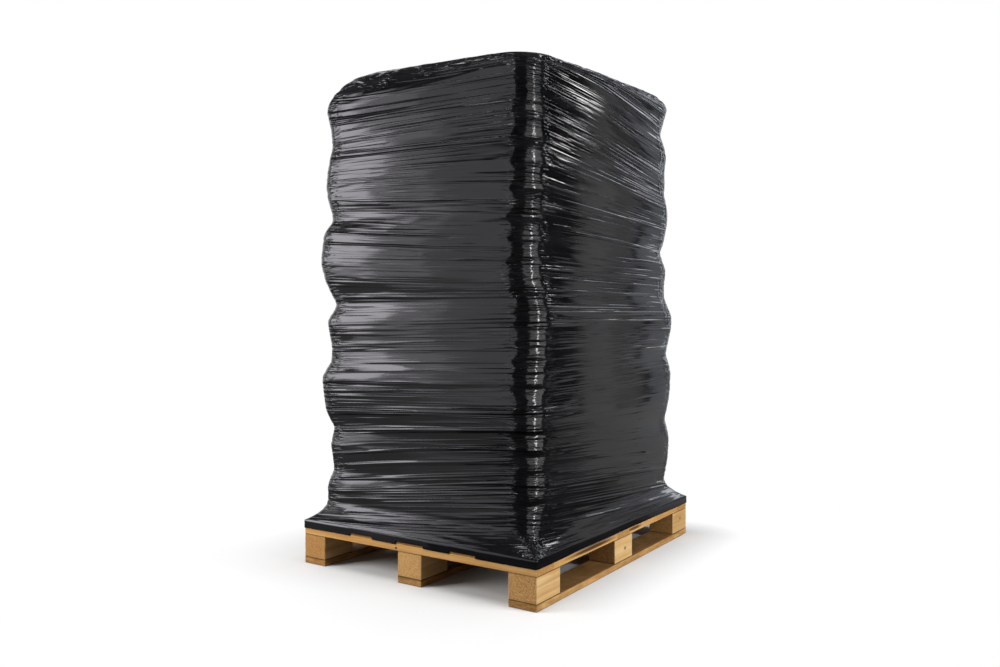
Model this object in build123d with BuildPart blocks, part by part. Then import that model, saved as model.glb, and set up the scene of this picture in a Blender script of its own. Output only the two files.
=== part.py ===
from build123d import *
import os
from math import cos, radians, sin

os.makedirs("parts", exist_ok=True)

# Pallet sizes in mm: X across the front, Y from front to back, Z up from the floor
pallet_width = 1000.0
pallet_length = 1200.0
board_thickness = 23.0
block_width = 103.0
block_length = 142.0
block_height = 84.0
stringer_width = 100.0
side_board_width = 90.0
wide_deck_board = 120.0
narrow_deck_board = 104.0
edge_chamfer = 1.5

# Load sizes
layer_count = 14
layer_height = 118.0
load_inset = 40.0
load_corner_radius = 70.0
valley_depth = 9.0
valley_rounding = 62.0
pair_growth = 8.0
pair_wander = 12.0

# Top edge of the load: its rounding begins a little above the foot of the highest layer
crown_foot = 13.0
crown_rise = layer_height - crown_foot
crown_depth = 125.0
crown_rounding = 130.0

# Film and top sheet
film_thickness = 2.5
fit_clearance = 1.0
sheet_thickness = 2.0
film_corner_radius = film_thickness + 2 * fit_clearance + edge_chamfer
top_fold_width = 60.0
overrun = 5.0

# How deep the film is drawn in between layers, as shares of the full valley
deep_valley_share = 1.0
shallow_valley_share = 0.3
half_share = 0.5

# How far each pair of layers stands out past the mean, and how far it is shifted
growth_shares = [0.1, -0.3, 1.0, 0.3, 0.3, 0.0, -1.0, -0.2]
wander_shares = [-0.1, 0.6, -0.1, 0.8, -1.0, -0.3, 0.1, 0.0]
wander_x_share = 0.8
wander_y_share = 0.6

# The film's flare above the deck: shares of the flare's height, inset and corner rounding
flare_height_share = 0.62
flare_steps_shares = [(0.0, 0.0, 0.0), (0.16, 0.35, 0.2), (0.46, 0.7, 0.55), (0.77, 0.95, 0.9)]

# Angles of the sections around the top edge
crown_angles = [0, 20, 40, 60, 77, 90]

# Heights of the layers of the pallet
block_base = board_thickness
stringer_base = block_base + block_height
deck_base = stringer_base + board_thickness
deck_top = deck_base + board_thickness
load_top = deck_top + layer_count * layer_height

# Places of the block columns across the pallet and of the block rows along it
column_x = (pallet_width - block_width) / 2
row_y = (pallet_length - block_length) / 2
stringer_y = (pallet_length - stringer_width) / 2
columns = [("left", -column_x), ("middle", 0.0), ("right", column_x)]
rows = [("front", -row_y), ("middle", 0.0), ("back", row_y)]

ON_BASE = (Align.CENTER, Align.CENTER, Align.MIN)


def save(piece, node):
    """Label a finished piece with its node name and write it out."""
    piece.part.label = node
    export_step(piece.part, f"parts/{node}.step")


# Bottom boards, under the three block columns
for side, x in columns:
    with BuildPart() as bottom_board:
        with Locations((x, 0, 0)):
            Box(block_width, pallet_length, board_thickness, align=ON_BASE)
        chamfer(bottom_board.edges(), edge_chamfer)
    save(bottom_board, f"bottom_board_{side}")

# Blocks, three rows of three
for row, y in rows:
    for side, x in columns:
        with BuildPart() as block:
            with Locations((x, y, block_base)):
                Box(block_width, block_length, block_height, align=ON_BASE)
            chamfer(block.edges(), edge_chamfer)
        save(block, f"block_{row}_{side}")

# Stringer boards, across the pallet on each row of blocks
for row, y in [("front", -stringer_y), ("middle", 0.0), ("back", stringer_y)]:
    with BuildPart() as stringer:
        with Locations((0, y, stringer_base)):
            Box(pallet_width, stringer_width, board_thickness, align=ON_BASE)
        chamfer(stringer.edges(), edge_chamfer)
    save(stringer, f"stringer_{row}")

# Side boards, between the stringers along the two long sides
side_board_length = stringer_y - stringer_width - 2 * fit_clearance
side_board_x = (pallet_width - side_board_width) / 2
side_board_y = stringer_y / 2
for side, x in [("left", -side_board_x), ("right", side_board_x)]:
    for row, y in [("front", -side_board_y), ("back", side_board_y)]:
        with BuildPart() as side_board:
            with Locations((x, y, stringer_base)):
                Box(side_board_width, side_board_length, board_thickness, align=ON_BASE)
            chamfer(side_board.edges(), edge_chamfer)
        save(side_board, f"side_board_{side}_{row}")

# Deck boards, wide ones at the edges and in the middle, evenly spaced
deck_gap = (pallet_width - 3 * wide_deck_board - 2 * narrow_deck_board) / 4
outer_deck_x = (pallet_width - wide_deck_board) / 2
inner_deck_x = (wide_deck_board + narrow_deck_board) / 2 + deck_gap
deck_boards = [
    ("left", -outer_deck_x, wide_deck_board),
    ("inner_left", -inner_deck_x, narrow_deck_board),
    ("middle", 0.0, wide_deck_board),
    ("inner_right", inner_deck_x, narrow_deck_board),
    ("right", outer_deck_x, wide_deck_board),
]
for place, x, width in deck_boards:
    with BuildPart() as deck_board:
        with Locations((x, 0, deck_base)):
            Box(width, pallet_length, board_thickness, align=ON_BASE)
        chamfer(deck_board.edges(), edge_chamfer)
    save(deck_board, f"deck_board_{place}")


def pair_of(layer):
    """The inset and the two shifts of the pair of layers that a layer belongs to."""
    pair = (layer + 1) // 2
    growth = pair_growth * growth_shares[pair % len(growth_shares)]
    wander = pair_wander * wander_shares[pair % len(wander_shares)]
    return load_inset - growth, wander * wander_x_share, wander * wander_y_share


def joint_section(joint, inward):
    """Section at the joint under a layer, that far inside the film: height, inset, radius, shifts."""
    inset, shift_x, shift_y = [
        (below + above) / 2 for below, above in zip(pair_of(joint - 1), pair_of(joint))
    ]
    deep = joint % 2 and joint < layer_count - 1
    share = deep_valley_share if deep else shallow_valley_share
    radius = load_corner_radius + valley_rounding * share
    height = deck_top + joint * layer_height
    return height, inset + valley_depth * share + inward, radius - inward, shift_x, shift_y


def layer_sections(layer, inward):
    """Sections of one layer between its two joints, bulging in the middle."""
    inset, shift_x, shift_y = pair_of(layer)
    height = deck_top + (layer + half_share) * layer_height
    middle = (height, inset + inward, load_corner_radius - inward, shift_x, shift_y)
    return [joint_section(layer, inward), middle, joint_section(layer + 1, inward)]


def crown_sections(inward, downward):
    """Sections of the rounded top edge, that far inside the film's side and under its top."""
    start = load_top + load_drop - crown_rise
    inset, shift_x, shift_y = pair_of(layer_count - 1)
    sections = [joint_section(layer_count - 1, inward)]
    for angle in crown_angles:
        out = 1 - cos(radians(angle))
        up = sin(radians(angle))
        sections.append(
            (
                start + (crown_rise - downward) * up,
                inset + inward + (crown_depth - inward) * out,
                load_corner_radius + crown_rounding * up - inward * (1 - out),
                shift_x,
                shift_y,
            )
        )
    return sections


def flare_sections(inward):
    """Sections of the film's flare, from the deck's edge in to the lowest layer."""
    inset, shift_x, shift_y = pair_of(0)
    start = deck_top + fit_clearance + film_thickness - inward
    edge = -fit_clearance - film_thickness + inward
    edge_radius = film_corner_radius - inward
    flare_height = layer_height * flare_height_share
    sections = []
    for up, out, rounding in flare_steps_shares:
        sections.append(
            (
                start + flare_height * up,
                edge + (inset + inward - edge) * out,
                edge_radius + (load_corner_radius - inward - edge_radius) * rounding,
                shift_x * out,
                shift_y * out,
            )
        )
    return sections + [joint_section(1, inward)]


def outlines(sections):
    """The rounded rectangle of each section, at its height."""
    made = []
    for height, inset, radius, shift_x, shift_y in sections:
        with BuildSketch(Plane.XY.offset(height)) as outline:
            with Locations((shift_x, shift_y)):
                RectangleRounded(pallet_width - 2 * inset, pallet_length - 2 * inset, radius)
        made.append(outline.sketch)
    return made


# How far the load's own sides and top lie inside the film's outer face
load_inward = film_thickness + fit_clearance
load_drop = film_thickness + sheet_thickness + fit_clearance

# Sack layers: the lowest stands straight on the deck, one more clearance inside the film,
# which swings in above its flare, and the highest has the rounded top edge
base_inset, base_shift_x, base_shift_y = pair_of(0)
base_inward = load_inward + fit_clearance
foot = (
    deck_top,
    base_inset + valley_depth + base_inward,
    load_corner_radius + valley_rounding - base_inward,
    base_shift_x,
    base_shift_y,
)
for layer in range(layer_count):
    if layer == 0:
        sections = [foot, joint_section(1, base_inward)]
    elif layer < layer_count - 1:
        sections = layer_sections(layer, load_inward)
    else:
        sections = crown_sections(load_inward, load_drop)
    with BuildPart() as sack_layer:
        loft(sections=outlines(sections))
    save(sack_layer, f"sack_layer_{layer + 1:02d}")

# Top sheet, flat on the top layer and held by the film's fold
top_inset, top_shift_x, top_shift_y = pair_of(layer_count - 1)
flat_inset = top_inset + crown_depth
flat_radius = load_corner_radius + crown_rounding
with BuildPart() as top_sheet:
    with BuildSketch(Plane.XY.offset(load_top)):
        with Locations((top_shift_x, top_shift_y)):
            RectangleRounded(
                pallet_width - 2 * flat_inset, pallet_length - 2 * flat_inset, flat_radius
            )
    extrude(amount=sheet_thickness)
save(top_sheet, "top_sheet")

# Outside of the film: a band around the deck's edge, the flare, the sides and the top edge
between = range(1, layer_count - 1)
band_reach = fit_clearance + film_thickness
with BuildPart() as film_outside:
    with BuildSketch(Plane.XY.offset(deck_base)):
        RectangleRounded(
            pallet_width + 2 * band_reach, pallet_length + 2 * band_reach, film_corner_radius
        )
    extrude(amount=deck_top + band_reach - deck_base)
    loft(sections=outlines(flare_sections(0)))
    for layer in between:
        loft(sections=outlines(layer_sections(layer, 0)))
    loft(sections=outlines(crown_sections(0, 0)))

# Inside of the film, the same shape one film thickness in
with BuildPart() as film_inside:
    with BuildSketch(Plane.XY.offset(deck_base - overrun)):
        RectangleRounded(
            pallet_width + 2 * fit_clearance,
            pallet_length + 2 * fit_clearance,
            film_corner_radius - film_thickness,
        )
    extrude(amount=deck_top + fit_clearance - deck_base + overrun)
    loft(sections=outlines(flare_sections(film_thickness)))
    for layer in between:
        loft(sections=outlines(layer_sections(layer, film_thickness)))
    loft(sections=outlines(crown_sections(film_thickness, film_thickness)))

# Stretch film, open in the middle of the top where its fold ends
fold_inset = flat_inset + top_fold_width
film_top = load_top + load_drop
with BuildPart() as stretch_film:
    add(film_outside.part)
    add(film_inside.part, mode=Mode.SUBTRACT)
    with BuildSketch(Plane.XY.offset(film_top - film_thickness - overrun)):
        with Locations((top_shift_x, top_shift_y)):
            RectangleRounded(
                pallet_width - 2 * fold_inset,
                pallet_length - 2 * fold_inset,
                flat_radius - top_fold_width,
            )
    extrude(amount=film_thickness + 2 * overrun, mode=Mode.SUBTRACT)
save(stretch_film, "stretch_film")
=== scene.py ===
import math

import bpy
import numpy as np
from bpy.props import FloatProperty, FloatVectorProperty, PointerProperty
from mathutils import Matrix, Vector


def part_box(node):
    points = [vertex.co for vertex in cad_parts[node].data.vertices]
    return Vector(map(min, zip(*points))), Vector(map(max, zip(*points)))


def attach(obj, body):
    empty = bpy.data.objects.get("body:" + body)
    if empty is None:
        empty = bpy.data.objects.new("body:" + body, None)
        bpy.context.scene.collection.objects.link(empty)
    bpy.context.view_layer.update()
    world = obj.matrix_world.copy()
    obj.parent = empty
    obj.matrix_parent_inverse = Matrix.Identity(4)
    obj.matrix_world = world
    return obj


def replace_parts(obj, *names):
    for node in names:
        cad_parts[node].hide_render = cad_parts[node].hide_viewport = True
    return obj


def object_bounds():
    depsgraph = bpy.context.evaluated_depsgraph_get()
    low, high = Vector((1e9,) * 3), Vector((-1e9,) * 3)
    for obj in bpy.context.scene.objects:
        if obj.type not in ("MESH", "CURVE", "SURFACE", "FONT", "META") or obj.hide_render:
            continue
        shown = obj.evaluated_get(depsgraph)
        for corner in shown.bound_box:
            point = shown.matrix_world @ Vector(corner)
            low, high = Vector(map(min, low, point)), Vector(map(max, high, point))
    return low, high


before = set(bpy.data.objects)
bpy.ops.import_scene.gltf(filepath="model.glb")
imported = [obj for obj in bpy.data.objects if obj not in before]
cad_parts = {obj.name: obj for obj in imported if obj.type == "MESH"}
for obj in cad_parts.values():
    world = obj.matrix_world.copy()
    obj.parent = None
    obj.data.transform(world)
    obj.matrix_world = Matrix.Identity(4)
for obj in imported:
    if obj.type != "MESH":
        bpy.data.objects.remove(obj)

bl_info = {
    "name": "Wrapped Pallet Load",
    "version": (1, 0, 0),
    "blender": (4, 5, 0),
    "location": "3D View > Sidebar > Pallet Load",
    "description": "Wraps a pallet load in stretch film, finishes its wood and sets up the studio",
    "category": "Object",
}

CAD_LOW, CAD_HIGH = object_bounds()
LAYERS = sorted(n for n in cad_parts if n.startswith("sack_layer_"))

# Corners of the load in the order of the film's columns, counter-clockwise seen from above: near,
# far right, far and far left; each table of four below has that order
CORNER_SIGNS = np.array(((1, -1), (1, 1), (-1, 1), (-1, -1)), float)

# Where the film is drawn in at each corner: how far a valley reaches down and up, then heights in
# metres and depths as shares of the full depth
VALLEYS = (
    (
        (0.036, 0.036),
        ((0.3, 0.6), (0.355, 0.8), (0.392, 0.6), (0.455, 0.7), (0.521, 1.0), (0.59, 0.6), (0.665, 0.8))
        + ((0.71, 0.6), (0.754, 0.9), (0.81, 0.6), (0.865, 0.8), (0.908, 0.7), (0.975, 1.0), (1.02, 0.6))
        + ((1.065, 0.8), (1.14, 0.7), (1.209, 1.0), (1.298, 0.8), (1.38, 0.6), (1.455, 0.9), (1.54, 0.6)),
    ),
    (
        (0.08, 0.12),
        ((0.251, 0.5), (0.486, 0.7), (0.756, 0.7), (0.991, 0.6), (1.176, 0.9), (1.411, 0.5), (1.614, 0.8)),
    ),
    (
        (0.08, 0.12),
        ((0.26, 0.5), (0.49, 0.8), (0.74, 0.7), (0.96, 0.8), (1.21, 0.9), (1.45, 0.6), (1.6, 0.4)),
    ),
    (
        (0.06, 0.155),
        ((0.337, 0.55), (0.493, 0.8), (0.737, 0.7), (0.947, 1.1), (1.254, 0.9), (1.4, 0.1), (1.564, 0.4)),
    ),
)

# How sharp a valley is
VALLEY_POWER = 1.25

# How much rounder each corner is in its valleys, as shares of the joint rounding, and how much deeper
VALLEY_ROUNDINGS = np.array((0.45, 0.8, 0.7, 0.15))
VALLEY_DEPTHS = np.array((0.1, 1.3, 1.4, 2.5))

# How far along the faces the valleys of each corner run on, in metres
VALLEY_RUNS = np.array((0.03, 0.2, 0.3, 0.5))

# Radius of each corner, as shares of the corner radius, and the least radius in metres
CORNER_SHARES = np.array((1.0, 1.0, 1.0, 0.65))
LEAST_RADIUS = 0.004

# How far each corner of the top stands higher, in metres, and how far under the top that begins and ends
TOP_RISES = np.array((-0.081, 0.05, 0.012, -0.004))
TOP_REACH = (0.5, 0.03)

# How wide and how tall the rounded top edge is at each corner, as shares of its full size, and how
# much more in the middle of the face after it
CROWN_SHARES = np.array((0.4, 0.8, 1.0, 0.72))
CROWN_RISES = np.array((0.4, 0.8, 1.0, 1.4))
CROWN_SWELLS = np.array((-0.08, 0.2, 0.2, 0.0))
CROWN_POWER = 1.4
CROWN_REACH = 0.45

# Rounding of the film at the deck's corners, in metres, and how the flare above it curves and rounds
EDGE_RADIUS = 0.006
FLARE_POWER = 2.8
FLARE_ROUNDING_POWER = 1.2

# Rows of the film's mesh on the band, the flare, the top edge and the fold, and columns on a corner,
# a side and an end
BAND_ROWS, FLARE_ROWS, CROWN_ROWS, FOLD_ROWS = 7, 18, 26, 8
CORNER_COLUMNS, FACE_COLUMNS = 18, (38, 26)

# How the film's turns climb around the load, fall towards its top between two heights on the sides
# after and before the near corner, and fall away from that corner low down, along some metres
TURN_CLIMB, TURN_FALL = 0.02, 0.12
FALL_AFTER, FALL_BEFORE = (1.2, 1.65), (0.8, 1.35)
LOW_FALL, LOW_HEIGHTS, LOW_RUN = 0.1, (0.3, 0.75), 1.2

# Ripples in the film's mesh: seed, height from crest to crest, how far they run on and how far they
# stand out, in metres
RIPPLES = {
    "billow": (11, 0.14, 0.9, 0.0003),
    "wide_groove": (13, 0.06, 0.4, 0.0004),
    "narrow_groove": (15, 0.035, 0.25, 0.0004),
    "rib": (21, 0.02, 0.05, 0.0006),
    "fold": (22, 0.05, 0.11, 0.0007),
    "sway": (23, 0.17, 0.3, 0.0012),
    "bunch": (31, 0.05, 0.07, 0.0026),
    "crinkle": (32, 0.022, 0.06, 0.0009),
    "skirt": (41, 0.03, 0.12, 0.0005),
    "turn_edge": (51, 0.9, 0.5, 0.006),
    "hem": (61, 0.9, 0.12, 0.0008),
}

# A column on the right-hand side, along which the film's height is measured
PROFILE_COLUMN = 30

# Heights of the edges of the film's turns, in metres
TURN_EDGES = (0.47, 0.71, 0.98, 1.24, 1.47)

# How much the film's hem is raised at the deck boards' ends, and its turned-in edge, in metres
HEM_RISE = 0.009
TUCK_DEPTH, TUCK_HEIGHT = 0.0018, 0.009

# How crumpled the film is at each corner
CORNER_CRUMPLE = np.array((0.55, 0.8, 1.0, 1.0))

# How far from each corner the creases of the faces are deeper, in metres, and how much
CREASE_RUNS = np.array((0.1, 0.15, 0.2, 0.36))
CREASE_GAINS = np.array((0.4, 0.5, 0.8, 1.0))

# Crumpled patches on the film: centre and half sizes in metres
CRUMPLES = (
    ((0.47, -0.57, 0.195), (0.07, 0.07, 0.05)),
    ((0.46, 0.5, 1.47), (0.08, 0.1, 0.22)),
    ((0.46, 0.5, 1.02), (0.08, 0.1, 0.18)),
    ((-0.46, -0.52, 1.4), (0.06, 0.08, 0.16)),
)

# Lamps: name, angle, distance, height, size, power and the height they aim at
LAMPS = (
    ("softbox_left", -40, 3.4, 1.6, (1.7, 2.0), 130, 0.4),
    ("softbox_right", 90, 3.4, 1.8, (1.3, 2.0), 118, 0.5),
    ("overhead", 20, 0.6, 4.2, (3.0, 3.0), 150, 0.0),
)

# Cards that the film reflects: name, first and last angle, distance, low and high edge, level and tint
CARDS = (
    ("backing", -180, 180, 6.3, 0.0, 6.0, 0.02, "ffffff"),
    ("back_far_left", -150, -115, 6.0, 0.0, 6.0, 0.8, "ffffff"),
    ("back_left", -115, -85, 6.0, 0.0, 3.2, 1.2, "ffffff"),
    ("wall_left", -85, -60, 6.0, 0.0, 3.2, 1.5, "ffffff"),
    ("flag_left", -60, -54, 6.0, 0.0, 6.0, 0.4, "ffffff"),
    ("box_left_3", -54, -43, 6.0, 1.4, 3.2, 6.3, "fbf8ff"),
    ("box_left_2", -43, -35, 6.0, 0.8, 3.2, 1.75, "fbf8ff"),
    ("box_left_1", -35, -14, 6.0, 0.0, 3.2, 0.95, "fbf8ff"),
    ("flag_front", -14, 37, 6.0, 0.0, 6.0, 0.0, "ffffff"),
    ("box_right_1", 42, 68, 2.3, 0.2, 1.7, 1.3, "ffffff"),
    ("box_right_2", 68, 72.5, 2.3, 0.8, 1.4, 22.0, "ffffff"),
    ("box_right_3", 72.5, 104, 2.3, 0.2, 1.7, 1.6, "ffffff"),
    ("flag_right", 102, 144.7, 6.0, 0.0, 6.0, 0.0, "ffffff"),
    ("wall_right_1", 144.7, 149.5, 6.0, 0.2, 2.6, 0.46, "ffffff"),
    ("wall_right_2", 149.5, 153.6, 6.0, 0.2, 2.2, 0.29, "ffffff"),
    ("box_back", 145.6, 149, 5.9, 3.55, 3.95, 10.0, "ffffff"),
    ("wall_back_1", 155, 166, 6.0, 0.2, 3.6, 0.5, "eef4ff"),
    ("strip_back", 166, 171, 6.0, 0.0, 4.5, 2.6, "f4f8ff"),
    ("wall_back_2", 171, 185, 6.0, 0.0, 4.5, 0.7, "eef4ff"),
    ("wall_back_3", 185, 196, 6.0, 0.0, 6.0, 0.2, "eef4ff"),
    ("wall_back_4", 196, 210, 6.0, 0.0, 6.0, 1.0, "eef4ff"),
)

# How a card fades past its edges: over a share of its distance, or over some metres where it hangs
# high, down to a share of its level; and the height that no card passes
FADE_SHARE, HIGH_FADE, FADED_SHARE = 0.25, 0.3, 0.06
HANGING_HEIGHT, STUDIO_HEIGHT = 3.0, 6.0

# Level cards: name, first and last angle, inner and outer distance, height, levels at both
SECTORS = (
    ("floor_left_3", -54, -43, 0.6, 6.0, 0.004, 0.2, 0.5),
    ("floor_left_2", -43, -35, 0.6, 6.0, 0.004, 0.2, 0.6),
    ("floor_left_1", -35, -14, 0.6, 6.0, 0.004, 0.2, 0.8),
    ("floor_front", -14, 132, 0.55, 6.0, 0.004, 0.03, 0.25),
    ("floor_front_2", 132, 136, 0.6, 6.0, 0.004, 0.08, 0.28),
    ("floor_front_3", 136, 140, 0.6, 6.0, 0.004, 0.16, 0.33),
    ("floor_right_near", 140, 175, 0.6, 1.7, 0.004, 0.03, 0.37),
    ("floor_right", 140, 175, 1.7, 6.0, 0.004, 0.37, 0.44),
    ("floor_back", 175, 306, 0.9, 6.0, 0.004, 0.1, 0.25),
    ("ceiling", 0, 360, 0.0, 6.2, 6.0, 0.05, 0.05),
    ("box_top_right", 144, 160, 2.4, 3.0, 5.8, 8.0, 8.0),
    ("box_top_left", -60, -20, 2.5, 3.0, 5.8, 8.0, 8.0),
)

# Points along the curve of a card and of a level card
CARD_STEPS, SECTOR_STEPS = 24, 48

# How far the floor reaches on each side, in metres
FLOOR_REACH = 60.0

# Kinds of node that the materials use again and again
MATH, VECTOR_MATH, MAP_RANGE = "ShaderNodeMath", "ShaderNodeVectorMath", "ShaderNodeMapRange"
MIX, RAMP, SEPARATE = "ShaderNodeMix", "ShaderNodeValToRGB", "ShaderNodeSeparateXYZ"


def linear(hex_text):
    """The linear RGBA colour of an sRGB hex text."""
    parts = [int(hex_text[i : i + 2], 16) / 255 for i in (0, 2, 4)]
    return [c / 12.92 if c <= 0.04045 else ((c + 0.055) / 1.055) ** 2.4 for c in parts] + [1.0]


def add(tree, kind, inputs=(), stops=(), **settings):
    """Add a node with its settings, and the stops of a ramp.

    inputs are in the order of the node's sockets, or by name or number. Each is a value, or a socket or
    a node that it is linked from.
    """
    made = tree.nodes.new(kind)
    for key, value in settings.items():
        setattr(made, key, value)
    for key, value in inputs.items() if isinstance(inputs, dict) else enumerate(inputs):
        source = value.outputs[0] if isinstance(value, bpy.types.Node) else value
        if isinstance(source, bpy.types.NodeSocket):
            tree.links.new(source, made.inputs[key])
        else:
            made.inputs[key].default_value = source
    for index, (position, colour) in enumerate(stops):
        elements = made.color_ramp.elements
        element = elements[index] if index < len(elements) else elements.new(1.0)
        element.position = position
        element.color = colour
    return made


def empty_tree(owner):
    """The node tree of a material or a world, with nothing in it."""
    owner.use_nodes = True
    owner.node_tree.nodes.clear()
    return owner.node_tree


def new_material(name):
    """A material, its empty tree and its coordinates."""
    material = bpy.data.materials.new(name)
    tree = empty_tree(material)
    return material, tree, add(tree, "ShaderNodeTexCoord")


def mottle(tree, coords, scale, detail=3.0, roughness=0.55, distortion=0.0, offset=(0, 0, 0)):
    """Soft random mottling over coordinates in metres; scale is in features a metre along each axis."""
    mapping = add(tree, "ShaderNodeMapping", {"Vector": coords, "Scale": scale, "Location": offset})
    inputs = {
        "Vector": mapping,
        "Scale": 1.0,
        "Detail": detail,
        "Roughness": roughness,
        "Distortion": distortion,
    }
    return add(tree, "ShaderNodeTexNoise", inputs)


def layered(tree, layers):
    """The sum of layers, each the product of its factors."""
    total = 0.0
    for first, *factors in layers:
        product = first
        for factor in factors:
            product = add(tree, MATH, (product, factor), operation="MULTIPLY")
        total = add(tree, MATH, (total, product), operation="ADD")
    return total


def spot(tree, place, centre, size):
    """1 inside an ellipsoid at a point, falling to 0 at its edge; centre and size in metres."""
    offset = add(tree, VECTOR_MATH, (place, centre), operation="SUBTRACT")
    share = add(tree, VECTOR_MATH, (offset, size), operation="DIVIDE")
    reach = add(tree, VECTOR_MATH, (share,), operation="LENGTH")
    return add(tree, MAP_RANGE, (reach.outputs["Value"], 1.0, 0.45))


def ripples(tree, place, scale, offset):
    """Ridges with sharp feet on a smooth ground, up to about 0.2 high, that follow a mottling."""
    field = mottle(tree, place, scale, 1.0, 0.5, 0.2, offset)
    field = add(tree, MATH, (field, 0.5), operation="SUBTRACT")
    return add(tree, MATH, (field, 0.0), operation="MAXIMUM")


def crease_lines(tree, place, scale, width, offset):
    """1 along thin lines that follow a mottling's middle level, 0 beside them."""
    field = mottle(tree, place, scale, 1.0, 0.5, 0.25, offset)
    field = add(tree, MATH, (field, 0.5), operation="SUBTRACT")
    away = add(tree, MATH, (field,), operation="ABSOLUTE")
    return add(tree, MAP_RANGE, (away, 0.0, width, 1.0, 0.0))


def film_material(name, settings, crumples=()):
    """Black polyethylene stretch film with fine level creases from its winding."""
    # Smooth and dark right through: it mirrors the studio, and each crease draws a bright line
    material, tree, coords = new_material(name)
    place = coords.outputs["Object"]
    wound, whole, corner, bunched, drawn = (
        add(tree, "ShaderNodeAttribute", attribute_name=key).outputs["Fac"]
        for key in ("wound", "whole", "corner", "bunched", "drawn")
    )
    level = add(tree, SEPARATE, (place,))
    turns = add(tree, "ShaderNodeCombineXYZ", (level.outputs["X"], level.outputs["Y"], wound))
    # Ripples about 16 mm, 10 mm and 50 mm apart that run right across a face and come and go
    strong = ripples(tree, turns, (0.9, 0.9, 62.0), (0, 0, 0))
    strong_here = mottle(tree, turns, (1.0, 1.0, 9.0), 2.0)
    strong_here = add(tree, MAP_RANGE, (strong_here, 0.42, 0.6, 0.12, 1.3))
    deeper = add(tree, MAP_RANGE, (drawn, 0.0, 1.0, 1.0, 2.0))
    light = ripples(tree, turns, (1.4, 1.4, 110.0), (4, 2, 9))
    light_here = mottle(tree, turns, (2.5, 2.5, 14.0), 2.0, offset=(6, 3, 1))
    light_here = add(tree, MAP_RANGE, (light_here, 0.4, 0.6))
    broad = mottle(tree, turns, (0.8, 0.8, 20.0), 1.0, offset=(3, 1, 7))
    # Short creases 5 mm apart and short level folds 9 mm apart at the corners
    comb = crease_lines(tree, place, (13.0, 13.0, 95.0), 0.09, (1, 8, 3))
    folds = ripples(tree, place, (22.0, 22.0, 110.0), (2, 2, 2))
    gathered = mottle(tree, place, (7.0, 7.0, 9.0), 2.0, offset=(8, 1, 5))
    gathered = add(tree, MAP_RANGE, (gathered, 0.42, 0.6, 0.1, 0.8))
    # Level pleats 11 mm apart at the top edge, here and there
    pleats = ripples(tree, place, (30.0, 30.0, 90.0), (3, 6, 1))
    pleated = mottle(tree, place, (8.0, 8.0, 20.0), 2.0, offset=(2, 7, 3))
    pleated = add(tree, MAP_RANGE, (pleated, 0.44, 0.6, 0.0, 2.2))
    layers = [
        (strong, strong_here, deeper, whole),
        (light, light_here, 0.4, whole),
        (broad, 0.2, whole),
        (comb, corner, -0.05),
        (folds, gathered, corner),
        (pleats, pleated, bunched),
    ]
    # Upright crinkles 16 mm apart in patches
    crinkles = ripples(tree, place, (62.0, 62.0, 34.0), (7, 2, 4))
    layers += [(crinkles, spot(tree, place, *patch), 0.6) for patch in crumples]
    height = layered(tree, layers)
    bump = add(tree, "ShaderNodeBump", {"Height": height, "Distance": settings.crease_depth})
    # Dust and rubbed places, 100 mm and more across
    dust = mottle(tree, place, (6.0, 6.0, 18.0), 5.0, 0.65, offset=(5, 5, 5))
    colour = add(tree, RAMP, (dust,), ((0.35, settings.film_colour), (0.75, settings.dust_colour)))
    rough = add(tree, MAP_RANGE, (dust, 0.3, 0.75, 0.05, 0.12))
    inputs = {"Base Color": colour, "Roughness": rough, "IOR": 1.5, "Normal": bump}
    shader = add(tree, "ShaderNodeBsdfPrincipled", inputs)
    add(tree, "ShaderNodeOutputMaterial", {"Surface": shader})
    return material


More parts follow.
